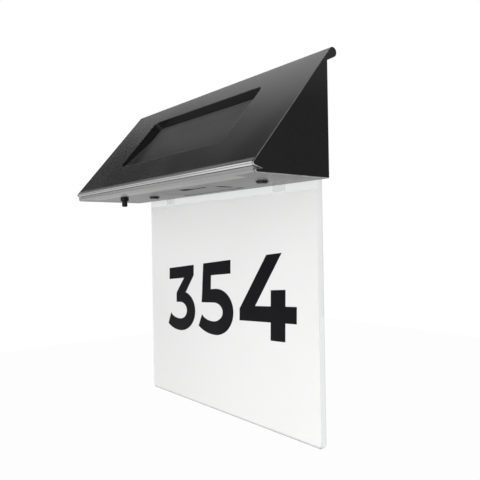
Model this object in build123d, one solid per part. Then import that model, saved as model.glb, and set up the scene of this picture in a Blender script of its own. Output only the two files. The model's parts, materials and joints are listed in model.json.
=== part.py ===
"""Solar house number light: a folded sheet housing over a hanging acrylic number panel.

Frame: millimetres, X to the right, Y into the wall, Z up.
Origin: on the wall plane, midway between the two keyhole entries of the wall hanger.
Profiles are drawn in the YZ plane and run along X.
"""
import math
import os

from build123d import *

# ------------------------------------------------------------------ driving sizes
# Housing
HOUSING_LENGTH = 260.0      # over both end plates
HOUSING_DEPTH = 66.2        # back plane to the front of the nose
HOUSING_HEIGHT = 88.5       # underside to the top of the rolled hem
WALL_GAP = 9.2              # wall to the housing's back plane
ENTRY_HEIGHT = 53.0         # underside to the keyhole entries
SHEET = 1.0                 # cover and back sheet
END_SHEET = 1.5             # end plates
HEM_RADIUS = 3.4            # outside of the rolled hem
HEM_LEG_ANGLE = 26.0        # rise of the hem's return leg
NOSE_RADIUS = 1.6           # outside of the front fold
NOSE_HEIGHT = 5.6           # fold centre above the underside
LIP_ANGLE = 15.0            # fall of the lip behind the nose
LIP_LENGTH = 5.2
BEND_RADIUS = 1.2           # middle line of every other fold
END_EDGE = 0.35             # broken edge round each end plate
FIT = 0.2                   # between pieces that are assembled by hand
PAST = 1.0                  # a cut's run past the face that it opens
NEAR = 0.01                 # edges are found within this

# Solar pocket and module
POCKET_WIDTH = 152.0
POCKET_HEIGHT = 58.5        # along the slope
POCKET_FROM_RIDGE = 20.0    # slope length above the pocket
POCKET_RECESS = 7.5         # slope's skin to the module's face
POCKET_CORNER = 5.0
POCKET_MOUTH = 0.5          # rounding of the pocket's mouth
SEAL_TAPE = 0.5
SEAL_TAPE_WIDTH = 6.0
MODULE_THICKNESS = 1.4
MODULE_EDGE = 0.2
GROMMET_HOLE = 3.2          # radius
GROMMET_FLANGE = 4.6        # radius
GROMMET_BORE = 1.1          # radius
GROMMET_THICKNESS = 1.5

# Base plate
BASE_SHEET = 2.0
BASE_FRONT = 65.0           # back plane to the plate's front edge
BASE_BEVEL = (1.2, 1.6)       # front edge's bevel, along Y and Z
SEAL_THICKNESS = 1.0
SEAL_WIDTH = 6.0
FLANGE_WIDTH = 7.5          # inward flanges that carry the base plate
FLANGE_FRONT = 20.0         # base plate's front edge to the seal and the end flanges
TOP_FLANGE = 9.0            # back plate's flange under the slope
TAB_BOTTOM = 14.0           # end plates' rear tabs, above the underside
TAB_HEIGHT = 46.0
CORNER_GAP = 2.0            # between neighbouring flanges
WINDOW_LENGTH = 215.0
WINDOW_WIDTH = 12.0
WINDOW_BACK = 51.5          # back plane to the window's rear edge
WINDOW_RIM = 1.5            # flange above the plate, at the ends and the rear
WINDOW_RIM_THICKNESS = 0.9
WINDOW_RIM_DEPTH = 9.0
RIB_GAP = 0.3               # window's front rib to the lip above it
RIB_REACH = 0.65            # share of the lip's length over the rib

# Lamp
LAMP_SHORTER = 2.0          # lamp's ends inside the window's
REFLECTOR_WALL = 1.0
REFLECTOR_BACK = 50.8       # back plane to the trough's rear wall
REFLECTOR_DEPTH = 8.2
REFLECTOR_HEIGHT = 5.6
LED_BOARD = 1.6
LED_COUNT = 8
LED_PITCH = 26.0
LED_BODY = 3.5
LED_HEIGHT = 1.2
LED_LENS = 1.4              # radius
LED_LENS_HEIGHT = 0.6

# Base plate screws
SCREW_PLACES = ((-54.0, 26.0), (93.5, 27.5))    # X, distance in front of the back plane
HEAD_RADIUS = 3.9
HEAD_HEIGHT = 1.1
HEAD_BEVEL = 0.5
SHANK_SPARE = 1.0           # screw ends beyond their nuts
WASHER_RADIUS = 4.4
WASHER_THICKNESS = 0.5
BASE_SHANK = 2.0
BRACKET_SHEET = 1.5
BRACKET_WIDTH = 14.0
BRACKET_RISE = 18.0
BRACKET_REACH = 33.0
NUT_FLATS = 7.0
NUT_HEIGHT = 3.2
HOLE_CLEARANCE = 0.25       # radial, round every screw

# Battery compartment
DOOR_CENTRE = 13.0
DOOR_WIDTH = 80.0
DOOR_BACK = 9.0             # back plane to the door's rear edge
DOOR_DEPTH = 35.0
DOOR_GAP = 0.4
DOOR_SHEET = 1.7
DOOR_CORNER = 1.0
HINGE_BEAD = 1.5            # radius of the bead along the door's rear edge
HINGE_RISE = 1.6            # bead's centre above the underside
HINGE_PIN = 0.8             # radius
HINGE_CLEARANCE = 0.08      # radial
EAR_WIDTH = 4.0
EAR_REACH = 2.5             # ear in front of the pin
CUT_REACH = 3.0             # door's corner cut in front of the pin
PIN_ENGAGE = 2.6
GRIP_SHIFT = 3.0            # keyhole-shaped grip, right of the door's middle
GRIP_LENGTH = 12.0
GRIP_WIDTH = 8.4
GRIP_TAIL = 25.0
GRIP_TAIL_WIDTH = 3.0
GRIP_FROM_FRONT = 4.9
PRY_LENGTH = 13.0
PRY_WIDTH = 3.0
BOX_WALL = 1.2
BOX_HEIGHT = 20.8           # inside
BOX_FROM_HINGE = 2.1        # rear wall in front of the pin
BOX_RIM = 4.0               # rim on the base plate, beyond the opening
BOX_RIM_THICKNESS = 1.4
CELL_RADIUS = 9.2
CELL_EDGE = 0.8
CELL_LENGTH = 65.0
CELL_BUTTON_RADIUS = 3.0
CELL_BUTTON = 1.0
CONTACT = 0.4
CONTACT_WIDTH = 9.0
CONTACT_HEIGHT = 12.0
SPRING_ROOM = 3.0           # left for the leaf spring
SPRING_LEG = 6.5            # half the leg on the box's wall
SPRING_TIP = 4.0

# Switch
SWITCH_X = -73.3
SWITCH_FROM_BACK = 45.5
SWITCH_BODY = 7.0
SWITCH_BODY_HEIGHT = 8.5
BUSH_RADIUS = 3.1
COLLAR_RADIUS = 3.6
COLLAR_HEIGHT = 2.8
COLLAR_FLUTES = 10
FLUTE_RADIUS = 0.5
THREAD_CLEARANCE = 0.05
SWITCH_FLOOR = 0.5          # switch body's floor above the base plate
BUTTON_RADIUS = 2.4
BUTTON_OUT = 5.2            # below the collar
BUTTON_SHOULDER = 3.0       # radius
SHOULDER_THICKNESS = 1.0
BUTTON_TRAVEL = 1.5
BUTTON_CLEARANCE = 0.3
BUTTON_BEVEL = 0.5          # round the button's end

# Control board
BOARD_WIDTH = 56.0
BOARD_HEIGHT = 20.0
BOARD_THICKNESS = 1.6
BOARD_BOTTOM = 29.0         # above the underside
BOARD_CENTRE = 10.0
STANDOFF = 4.0
STANDOFF_RADIUS = 2.6
STANDOFF_INSET = 4.0
BOARD_SCREW = 1.2           # radius
BOARD_SCREW_BITE = 2.0
BOARD_SCREW_HEAD = (2.2, 1.4)   # radius, height
CHIP = (7.0, 1.6, 6.0)      # X, Y and Z
COIL = (4.0, 3.0)           # radius, height
CAPACITOR = (2.5, 4.5)      # radius, height
CONNECTOR = (6.0, 3.0, 4.0)
CHIP_PLACE = (-3.0, 0.0)    # X and Z from the board's middle
COIL_PLACE = (6.0, -3.0)
CAPACITOR_PLACE = (15.0, -4.0)
SOLAR_PLUG = (-20.0, 6.0)
LAMP_PLUG = (-24.0, -6.0)
BATTERY_PLUG = (24.0, 6.0)

# Number panel
PANEL_WIDTH = 230.0
PANEL_DROP = 186.0          # below the housing
PANEL_RISE = 30.0           # behind the housing
PANEL_THICKNESS = 4.0
PANEL_CORNER = 3.5
PANEL_EDGE = 0.3
FILM = 0.2
FILM_TOP = 5.2              # clear margin below the housing
FILM_MARGIN = 1.2
CLIP_X = 76.0
CLIP_WIDTH = 12.0
CLIP_THICKNESS = 1.8
CLIP_CORNER = 1.0
CLIP_DROP = 4.4
CLIP_RISE = 26.0
PANEL_SCREW_HEIGHT = 18.0
PANEL_SHANK = 2.0
PANEL_HEAD = 4.0
PANEL_HEAD_DEPTH = 2.2
SPACER_RADIUS = 4.5

# Wall hanger
HANGER_LENGTH = 170.0
HANGER_SHEET = 1.2
HANGER_WEB = 24.0
HANGER_FLANGE = 7.0
HANGER_SLOPE = 2.0
ENTRY_PITCH = 120.0
ENTRY_RADIUS = 4.5
KEY_RADIUS = 2.3
KEY_RISE = 8.0
RIVET_X = 72.0
RIVET_RADIUS = 1.6
RIVET_HEAD = 2.6
RIVET_CLEARANCE = 0.1
RIVET_TAIL = 2.4            # radius of the closed end
RIVET_HEAD_HEIGHT = 0.9

# Inner leads
LEAD_RADIUS = 0.9
LEAD_STRAIGHT = 8.0         # first and last runs
LEAD_RISE = 5.0             # lamp lead's run up from the lamp board
LEAD_ARC_SHARE = 0.45       # of the shorter run, taken by each arc
LEAD_SIDES = 8              # of the leads' section

# ------------------------------------------------------------------ derived places
BACK_Y = -WALL_GAP
BASE_Z = -ENTRY_HEIGHT
INNER_LENGTH = HOUSING_LENGTH - 2 * END_SHEET
BASE_TOP = BASE_Z + BASE_SHEET
FLANGE_Z = BASE_TOP + SEAL_THICKNESS
HEM_CENTRE = (BACK_Y + WALL_GAP - HEM_RADIUS, BASE_Z + HOUSING_HEIGHT - HEM_RADIUS)
NOSE_CENTRE = (BACK_Y - HOUSING_DEPTH + NOSE_RADIUS, BASE_Z + NOSE_HEIGHT)
FRONT_Y = BACK_Y - BASE_FRONT
DOOR_Y = (BACK_Y - DOOR_BACK - DOOR_DEPTH, BACK_Y - DOOR_BACK)
PANEL_SCREW_Z = BASE_Z + PANEL_SCREW_HEIGHT


WEB_LOW = (KEY_RISE - HANGER_WEB) / 2
WEB_HIGH = WEB_LOW + HANGER_WEB


def rivet_places():
    """X and Z of the four rivets through the hanger's flanges."""
    low = WEB_LOW - HANGER_SLOPE - HANGER_FLANGE / 2
    high = WEB_HIGH + HANGER_SLOPE + HANGER_FLANGE / 2
    return [(x, z) for z in (low, high) for x in (-RIVET_X, RIVET_X)]


# ------------------------------------------------------------------ helpers
def yz(face, length, x_mid=0.0):
    """A YZ profile run along X, centred on x_mid."""
    return Pos(x_mid, 0, 0) * extrude(Plane.YZ * face, amount=length / 2, both=True)


def block(x, y, z):
    """A block between three pairs of limits."""
    size = [high - low for low, high in (x, y, z)]
    middle = [(high + low) / 2 for low, high in (x, y, z)]
    return Pos(*middle) * Box(*size)


def rod(start, axis, radius, length):
    """A cylinder from start along a unit axis."""
    return Plane(start, z_dir=axis) * Cylinder(
        radius, length, align=(Align.CENTER, Align.CENTER, Align.MIN))


def folded(points, thickness, length, x_mid=0.0):
    """Sheet folded along the middle line through YZ points."""
    path = FilletPolyline(*points, radius=BEND_RADIUS)
    return yz(trace(path, line_width=thickness), length, x_mid)


def hex_nut(start, axis, bore):
    """A hexagon nut with its bearing face at start."""
    outline = RegularPolygon(NUT_FLATS / 2, 6, major_radius=False) - Circle(bore)
    return Plane(start, z_dir=axis) * extrude(outline, amount=NUT_HEIGHT)


def slope_normal():
    """Unit normal of the slope: the tangent common to the hem and nose circles."""
    across = HEM_CENTRE[0] - NOSE_CENTRE[0]
    up = HEM_CENTRE[1] - NOSE_CENTRE[1]
    lean = math.atan2(up, across)
    turn = math.acos((NOSE_RADIUS - HEM_RADIUS) / math.hypot(across, up))
    return math.cos(lean + turn), math.sin(lean + turn)


NORMAL = slope_normal()
SLOPE_TURN = math.degrees(math.atan2(NORMAL[1], NORMAL[0]))


def on_circle(centre, radius, degrees):
    turn = math.radians(degrees)
    return centre[0] + radius * math.cos(turn), centre[1] + radius * math.sin(turn)


def cover_path(inset, back_gap):
    """Edges of the cover's profile, inset below its outer skin.

    They run up the hem's leg, round the hem, down the slope, round the nose and along the lip.
    """
    hem = HEM_RADIUS - inset
    nose = NOSE_RADIUS - inset
    leg_turn = HEM_LEG_ANGLE - 90
    leg_end = on_circle(HEM_CENTRE, hem, leg_turn)
    run = leg_end[0] - BACK_Y - back_gap
    leg_start = (leg_end[0] - run, leg_end[1] - run * math.tan(math.radians(HEM_LEG_ANGLE)))
    lip_turn = 270 - LIP_ANGLE
    lip_start = on_circle(NOSE_CENTRE, nose, lip_turn)
    lip_end = on_circle(lip_start, LIP_LENGTH, -LIP_ANGLE)
    return [
        Line(leg_start, leg_end),
        CenterArc(HEM_CENTRE, hem, leg_turn, SLOPE_TURN - leg_turn),
        Line(on_circle(HEM_CENTRE, hem, SLOPE_TURN), on_circle(NOSE_CENTRE, nose, SLOPE_TURN)),
        CenterArc(NOSE_CENTRE, nose, SLOPE_TURN, lip_turn - SLOPE_TURN),
        Line(lip_start, lip_end),
    ]


def slope_point(down, depth):
    """YZ point a distance down the slope from the hem, and below its skin."""
    start = on_circle(HEM_CENTRE, HEM_RADIUS - depth, SLOPE_TURN)
    return start[0] - NORMAL[1] * down, start[1] + NORMAL[0] * down


def slope_plane(down, depth):
    """Plane parallel to the slope: X along the housing, Y up the slope, Z outwards."""
    y, z = slope_point(down, depth)
    return Plane((0, y, z), x_dir=(1, 0, 0), z_dir=(0, NORMAL[0], NORMAL[1]))


POCKET_MIDDLE = POCKET_FROM_RIDGE + POCKET_HEIGHT / 2
POCKET_DEPTH = POCKET_RECESS + MODULE_THICKNESS + SEAL_TAPE


# ------------------------------------------------------------------ housing
def roof_cover():
    """Slope with its drawn pocket, the rolled hem behind it and the nose and lip in front."""
    outer = cover_path(0, FIT)
    inner = cover_path(SHEET, FIT)
    ends = [Line(outer[0] @ 0, inner[0] @ 0), Line(outer[-1] @ 1, inner[-1] @ 1)]
    cover = yz(make_face(outer + inner + ends), INNER_LENGTH)
    mouth = slope_plane(POCKET_MIDDLE, 0)
    pocket = RectangleRounded(POCKET_WIDTH, POCKET_HEIGHT, POCKET_CORNER)
    tray = RectangleRounded(POCKET_WIDTH + 2 * SHEET, POCKET_HEIGHT + 2 * SHEET, POCKET_CORNER + SHEET)
    cover += mouth * extrude(tray, amount=-POCKET_DEPTH - SHEET)
    cover -= mouth * extrude(pocket, amount=-POCKET_DEPTH)
    rim = cover.edges().filter_by(lambda e: on_mouth(e, mouth))
    cover = fillet(rim, POCKET_MOUTH)
    return cover - mouth * Cylinder(GROMMET_HOLE, 4 * POCKET_DEPTH)


def on_mouth(edge, mouth):
    """True for the edges round the pocket's mouth."""
    middle = mouth.to_local_coords(edge @ 0.5)
    inside_x = abs(middle.X) < POCKET_WIDTH / 2 + NEAR
    inside_y = abs(middle.Y) < POCKET_HEIGHT / 2 + NEAR
    return abs(middle.Z) < NEAR and inside_x and inside_y


def end_plate(side):
    """Flat end plate with the cover's full outline and two inward tabs; side is -1 or 1."""
    skin = cover_path(0, 0)
    toe = (FRONT_Y + FIT, BASE_Z + BASE_BEVEL[1])
    foot = (toe[0] + BASE_BEVEL[0], BASE_Z)
    heel = (BACK_Y, BASE_Z)
    closing = [Line(skin[-1] @ 1, toe), Line(toe, foot), Line(foot, heel), Line(heel, skin[0] @ 0)]
    face = Plane.YZ * make_face(skin + closing)
    plate = extrude(face, amount=-END_SHEET)
    plate = chamfer(plate.faces().sort_by(Axis.X)[-1].edges(), END_EDGE)
    inner = -END_SHEET
    reach = inner - FLANGE_WIDTH
    web_y = BACK_Y - SHEET
    base_tab = block((reach, inner), (FRONT_Y + FLANGE_FRONT, web_y - FLANGE_WIDTH - CORNER_GAP),
                     (FLANGE_Z, FLANGE_Z + END_SHEET))
    tab_z = BASE_Z + TAB_BOTTOM
    back_tab = block((reach, inner), (web_y - END_SHEET, web_y), (tab_z, tab_z + TAB_HEIGHT))
    plate += [base_tab, back_tab]
    placed = Pos(HOUSING_LENGTH / 2, 0, 0) * plate
    return placed if side > 0 else mirror(placed, about=Plane.YZ)


def back_plate():
    """Back sheet: inward flange at the foot, and a top flange folded under the slope."""
    web_y = BACK_Y - SHEET / 2
    foot_z = FLANGE_Z + SHEET / 2
    under = SHEET * 1.5 + FIT / 2
    # down the slope to where its underside meets the web's middle line
    at_web = (slope_point(0, under)[0] - web_y) / NORMAL[1]
    points = [
        (web_y - FLANGE_WIDTH, foot_z),
        (web_y, foot_z),
        slope_point(at_web, under),
        slope_point(at_web + TOP_FLANGE, under),
    ]
    plate = folded(points, SHEET, INNER_LENGTH - 2 * FIT)
    through = SHEET + 2 * PAST
    for x in (-CLIP_X, CLIP_X):
        plate -= rod((x, BACK_Y + PAST, PANEL_SCREW_Z), (0, -1, 0), PANEL_SHANK + HOLE_CLEARANCE, through)
    for x, z in rivet_places():
        plate -= rod((x, BACK_Y + PAST, z), (0, -1, 0), RIVET_RADIUS + RIVET_CLEARANCE, through)
    return plate


def base_plate():
    """Underside plate with the lamp window, the battery opening and the screw and switch holes."""
    half = INNER_LENGTH / 2 - FIT
    bevel_y, bevel_z = BASE_BEVEL
    profile = Polygon((FRONT_Y, BASE_Z + bevel_z), (FRONT_Y + bevel_y, BASE_Z), (BACK_Y, BASE_Z),
                      (BACK_Y, BASE_TOP), (FRONT_Y, BASE_TOP), align=None)
    plate = yz(profile, 2 * half)
    plate -= light_window_slot(FIT)
    door_x = (DOOR_CENTRE - DOOR_WIDTH / 2, DOOR_CENTRE + DOOR_WIDTH / 2)
    below = BASE_Z - PAST
    through = BASE_SHEET + 2 * PAST
    plate -= block(door_x, DOOR_Y, (below, below + through))
    for x, forward in SCREW_PLACES:
        plate -= rod((x, BACK_Y - forward, below), (0, 0, 1), BASE_SHANK + HOLE_CLEARANCE, through)
    plate -= rod((SWITCH_X, BACK_Y - SWITCH_FROM_BACK, below), (0, 0, 1), BUSH_RADIUS + HOLE_CLEARANCE, through)
    return plate


def light_window_slot(grow):
    y_back = BACK_Y - WINDOW_BACK
    half = WINDOW_LENGTH / 2
    return block((-half - grow, half + grow), (y_back - WINDOW_WIDTH - grow, y_back + grow),
                 (BASE_Z, BASE_TOP))


def base_seal():
    """Foam strip round three sides, between the base plate and the inward flanges."""
    half = INNER_LENGTH / 2 - FIT
    back = BACK_Y - SHEET
    front = FRONT_Y + FLANGE_FRONT
    ring = block((-half, half), (front, back), (BASE_TOP, FLANGE_Z))
    inside = block((SEAL_WIDTH - half, half - SEAL_WIDTH), (front - PAST, back - SEAL_WIDTH),
                   (BASE_TOP - PAST, FLANGE_Z + PAST))
    return ring - inside


def base_brackets():
    """Two folded angle brackets from the back plate over the base plate's screws."""
    web_y = BACK_Y - SHEET - BRACKET_SHEET / 2
    shelf_z = FLANGE_Z + SHEET + BRACKET_SHEET / 2
    brackets = []
    for x, forward in SCREW_PLACES:
        points = [(web_y, shelf_z + BRACKET_RISE), (web_y, shelf_z), (web_y - BRACKET_REACH, shelf_z)]
        bracket = folded(points, BRACKET_SHEET, BRACKET_WIDTH, x)
        hole_low = shelf_z - BRACKET_SHEET
        bracket -= rod((x, BACK_Y - forward, hole_low), (0, 0, 1), BASE_SHANK + HOLE_CLEARANCE,
                       2 * BRACKET_SHEET)
        brackets.append(bracket)
    return brackets


def base_screws():
    """Low-headed screws, from below."""
    screws = []
    for x, forward in SCREW_PLACES:
        seat = (x, BACK_Y - forward, BASE_Z - WASHER_THICKNESS)
        head = Pos(*seat) * Cylinder(HEAD_RADIUS, HEAD_HEIGHT, align=(Align.CENTER, Align.CENTER, Align.MAX))
        head = chamfer(head.edges().sort_by(Axis.Z)[0], HEAD_BEVEL)
        shank_length = FLANGE_Z + SHEET + BRACKET_SHEET + NUT_HEIGHT + SHANK_SPARE - seat[2]
        screws.append(head + rod(seat, (0, 0, 1), BASE_SHANK, shank_length))
    return screws


def base_screw_washers():
    washers = []
    for x, forward in SCREW_PLACES:
        ring = Circle(WASHER_RADIUS) - Circle(BASE_SHANK + HOLE_CLEARANCE)
        seat = Pos(x, BACK_Y - forward, BASE_Z - WASHER_THICKNESS)
        washers.append(seat * extrude(ring, amount=WASHER_THICKNESS))
    return washers


def base_nuts():
    top = FLANGE_Z + SHEET + BRACKET_SHEET
    return [hex_nut((x, BACK_Y - forward, top), (0, 0, 1), BASE_SHANK + FIT / 2)
            for x, forward in SCREW_PLACES]


# ------------------------------------------------------------------ solar module
def solar_seal():
    plane = slope_plane(POCKET_MIDDLE, POCKET_DEPTH)
    width = POCKET_WIDTH - 2 * FIT
    height = POCKET_HEIGHT - 2 * FIT
    ring = Rectangle(width, height) - Rectangle(width - 2 * SEAL_TAPE_WIDTH, height - 2 * SEAL_TAPE_WIDTH)
    ring = ring & RectangleRounded(width, height, POCKET_CORNER)
    return plane * extrude(ring, amount=SEAL_TAPE)


def solar_module():
    plane = slope_plane(POCKET_MIDDLE, POCKET_DEPTH - SEAL_TAPE)
    sheet = RectangleRounded(POCKET_WIDTH - 2 * FIT, POCKET_HEIGHT - 2 * FIT, POCKET_CORNER)
    module = extrude(sheet, amount=MODULE_THICKNESS)
    module = chamfer(module.faces().sort_by(Axis.Z)[-1].edges(), MODULE_EDGE)
    return plane * module


def solar_grommet():
    """Rubber grommet for the module's lead, clipped in the pocket's floor from inside."""
    plane = slope_plane(POCKET_MIDDLE, POCKET_DEPTH)
    neck = Circle(GROMMET_HOLE - FIT / 2) - Circle(GROMMET_BORE)
    flange = Circle(GROMMET_FLANGE) - Circle(GROMMET_BORE)
    grommet = extrude(neck, amount=-SHEET) + Pos(0, 0, -SHEET) * extrude(flange, amount=-GROMMET_THICKNESS)
    return plane * grommet


# ------------------------------------------------------------------ lamp
LAMP_Y = BACK_Y - REFLECTOR_BACK - REFLECTOR_DEPTH / 2
LAMP_Z = BASE_TOP + WINDOW_RIM_THICKNESS + REFLECTOR_HEIGHT


def light_window():
    """Opal window flush with the underside.

    Its rim lies on the plate at the rear and ends, and its front rib shows below the cover's lip.
    """
    window = light_window_slot(0)
    half = WINDOW_LENGTH / 2 + WINDOW_RIM
    y_back = BACK_Y - WINDOW_BACK + WINDOW_RIM
    window += block((-half, half), (y_back - WINDOW_RIM_DEPTH, y_back),
                    (BASE_TOP, BASE_TOP + WINDOW_RIM_THICKNESS))
    lip = cover_path(-RIB_GAP, 0)[-1]
    front = lip @ 0
    rear = lip @ RIB_REACH
    rib = Polygon((front.X, BASE_TOP), (rear.X, BASE_TOP), (rear.X, rear.Y), (front.X, front.Y), align=None)
    return window + yz(rib, INNER_LENGTH - 2 * FIT)


def led_reflector():
    """White trough over the window, open below and above."""
    half = WINDOW_LENGTH / 2 - LAMP_SHORTER
    back = BACK_Y - REFLECTOR_BACK
    floor = BASE_TOP + WINDOW_RIM_THICKNESS
    trough = block((-half, half), (back - REFLECTOR_DEPTH, back), (floor, floor + REFLECTOR_HEIGHT))
    hollow = block((REFLECTOR_WALL - half, half - REFLECTOR_WALL),
                   (back - REFLECTOR_DEPTH + REFLECTOR_WALL, back - REFLECTOR_WALL),
                   (floor - PAST, floor + REFLECTOR_HEIGHT + PAST))
    return trough - hollow


def led_board():
    half = WINDOW_LENGTH / 2 - LAMP_SHORTER
    back = BACK_Y - REFLECTOR_BACK
    return block((-half, half), (back - REFLECTOR_DEPTH, back), (LAMP_Z, LAMP_Z + LED_BOARD))


def leds():
    """Row of square diodes under the board, each with a round dome."""
    below = (Align.CENTER, Align.CENTER, Align.MAX)
    diode = Box(LED_BODY, LED_BODY, LED_HEIGHT, align=below)
    diode += Pos(0, 0, -LED_HEIGHT) * Cylinder(LED_LENS, LED_LENS_HEIGHT, align=below)
    row = GridLocations(LED_PITCH, 1, LED_COUNT, 1)
    return [Pos(0, LAMP_Y, LAMP_Z) * place * diode for place in row]


# ------------------------------------------------------------------ battery
HINGE_Y = DOOR_Y[1] - DOOR_GAP - HINGE_BEAD
HINGE_Z = BASE_Z + HINGE_RISE
BOX_BACK = HINGE_Y - BOX_FROM_HINGE
BOX_INSIDE = CELL_LENGTH + CELL_BUTTON + 2 * CONTACT + SPRING_ROOM
CELL_Y = BOX_BACK - BOX_WALL - FIT - CELL_RADIUS
CELL_Z = BASE_TOP + BOX_HEIGHT - FIT - CELL_RADIUS
CELL_RIGHT = DOOR_CENTRE + BOX_INSIDE / 2 - CONTACT - CELL_BUTTON


def battery_door():
    """Door flush with the underside, hinged on a bead at its rear edge, with a keyhole grip."""
    half = DOOR_WIDTH / 2 - DOOR_GAP
    front = DOOR_Y[0] + DOOR_GAP
    door = block((-half, half), (front, HINGE_Y), (BASE_Z, BASE_Z + DOOR_SHEET))
    door = fillet(door.edges().filter_by(Axis.Z).group_by(Axis.Y)[0], DOOR_CORNER)
    door += rod((-half, HINGE_Y, HINGE_Z), (1, 0, 0), HINGE_BEAD, 2 * half)
    grip_y = front + GRIP_FROM_FRONT
    grip = Pos(GRIP_SHIFT, grip_y) * SlotOverall(GRIP_LENGTH, GRIP_WIDTH)
    grip += Pos(GRIP_SHIFT + GRIP_TAIL / 2, grip_y + GRIP_WIDTH / 5) * SlotOverall(GRIP_TAIL, GRIP_TAIL_WIDTH)
    below = BASE_Z - PAST
    door -= Pos(0, 0, below) * extrude(grip, amount=DOOR_SHEET + 2 * PAST)
    pry_y = (front + HINGE_Y) / 2
    door -= block((half - PRY_WIDTH, half + PAST), (pry_y - PRY_LENGTH / 2, pry_y + PRY_LENGTH / 2),
                  (below, below + DOOR_SHEET + 2 * PAST))
    cut = half - EAR_WIDTH - DOOR_GAP
    above = HINGE_Z + HINGE_BEAD + PAST
    for side in (-1, 1):
        x_limits = sorted((side * cut, side * (half + PAST)))
        door -= block(x_limits, (HINGE_Y - CUT_REACH, DOOR_Y[1]), (below, above))
        root = (side * (cut - HINGE_BEAD), HINGE_Y, HINGE_Z)
        door += rod(root, (side, 0, 0), HINGE_PIN, HINGE_BEAD + DOOR_GAP + PIN_ENGAGE)
    return Pos(DOOR_CENTRE, 0, 0) * door


def battery_box():
    """Open-bottomed box for one cell, with a rim on the base plate and two ears for the door's pins."""
    half = BOX_INSIDE / 2 + BOX_WALL
    front = BOX_BACK - 2 * (BOX_WALL + FIT + CELL_RADIUS)
    top = BASE_TOP + BOX_HEIGHT + BOX_WALL
    outside = block((-half, half), (front, BOX_BACK), (BASE_TOP, top))
    outside = fillet(outside.edges().filter_by(Axis.X).group_by(Axis.Z)[-1], BOX_WALL)
    rim_half = DOOR_WIDTH / 2 + BOX_RIM
    rim_top = BASE_TOP + BOX_RIM_THICKNESS
    rim = block((-rim_half, rim_half), (DOOR_Y[0] - BOX_RIM, BOX_BACK), (BASE_TOP, rim_top))
    inside = block((BOX_WALL - half, half - BOX_WALL), (front + BOX_WALL, BOX_BACK - BOX_WALL),
                   (BASE_TOP - PAST, top - BOX_WALL))
    box = outside + rim - inside
    outer = DOOR_WIDTH / 2 - DOOR_GAP
    for side in (-1, 1):
        x_limits = sorted((side * (outer - EAR_WIDTH), side * outer))
        box += block(x_limits, (HINGE_Y - EAR_REACH, HINGE_Y + HINGE_BEAD), (BASE_Z + FIT, rim_top))
        mouth = (side * (outer - EAR_WIDTH - PAST), HINGE_Y, HINGE_Z)
        box -= rod(mouth, (side, 0, 0), HINGE_PIN + HINGE_CLEARANCE, PAST + PIN_ENGAGE + FIT)
    return Pos(DOOR_CENTRE, 0, 0) * box


def battery_cell():
    can = rod((CELL_RIGHT, CELL_Y, CELL_Z), (-1, 0, 0), CELL_RADIUS, CELL_LENGTH)
    can = chamfer(can.edges().filter_by(GeomType.CIRCLE), CELL_EDGE)
    return can + rod((CELL_RIGHT, CELL_Y, CELL_Z), (1, 0, 0), CELL_BUTTON_RADIUS, CELL_BUTTON)


def battery_contact_plus():
    """Flat contact against the box's right wall."""
    right = DOOR_CENTRE + BOX_INSIDE / 2
    return block((right - CONTACT, right), (CELL_Y - CONTACT_WIDTH / 2, CELL_Y + CONTACT_WIDTH / 2),
                 (CELL_Z - CONTACT_HEIGHT / 2, CELL_Z + CONTACT_HEIGHT / 2))


def battery_contact_minus():
    """Leaf spring bent from the box's left wall to the cell."""
    left = DOOR_CENTRE - BOX_INSIDE / 2 + CONTACT / 2
    cell = CELL_RIGHT - CELL_LENGTH - CONTACT
    spring = Polyline((left, CELL_Z + SPRING_LEG), (left, CELL_Z - SPRING_LEG), (cell, CELL_Z - CONTACT),
                      (left + CONTACT, CELL_Z + SPRING_TIP))
    face = trace(spring, line_width=CONTACT)
    strip = extrude(Plane.XZ * face, amount=CONTACT_WIDTH / 2, both=True)
    return Pos(0, CELL_Y, 0) * strip


# ------------------------------------------------------------------ switch
SWITCH_Y = BACK_Y - SWITCH_FROM_BACK
COLLAR_BOTTOM = BASE_Z - COLLAR_HEIGHT
SHOULDER_SEAT = BASE_TOP + SWITCH_FLOOR


def switch_body():
    """Square body on the base plate, with a threaded bush down through it."""
    half = SWITCH_BODY / 2
    body = block((SWITCH_X - half, SWITCH_X + half), (SWITCH_Y - half, SWITCH_Y + half),
                 (BASE_TOP, BASE_TOP + SWITCH_BODY_HEIGHT))
    up = (0, 0, 1)
    body += rod((SWITCH_X, SWITCH_Y, COLLAR_BOTTOM), up, BUSH_RADIUS, COLLAR_HEIGHT + BASE_SHEET)
    body -= rod((SWITCH_X, SWITCH_Y, COLLAR_BOTTOM - PAST), up, BUTTON_RADIUS + BUTTON_CLEARANCE,
                SHOULDER_SEAT - COLLAR_BOTTOM + 2 * PAST)
    room = BUTTON_TRAVEL + 3 * BUTTON_CLEARANCE + SHOULDER_THICKNESS
    body -= rod((SWITCH_X, SWITCH_Y, SHOULDER_SEAT), up, BUTTON_SHOULDER + BUTTON_CLEARANCE, room)
    return body


def switch_collar():
    """Fluted round nut under the base plate."""
    ring = Circle(COLLAR_RADIUS) - Circle(BUSH_RADIUS + THREAD_CLEARANCE)
    ring -= PolarLocations(COLLAR_RADIUS + FLUTE_RADIUS / 3, COLLAR_FLUTES) * Circle(FLUTE_RADIUS)
    return Pos(SWITCH_X, SWITCH_Y, BASE_Z) * extrude(ring, amount=-COLLAR_HEIGHT)


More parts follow.
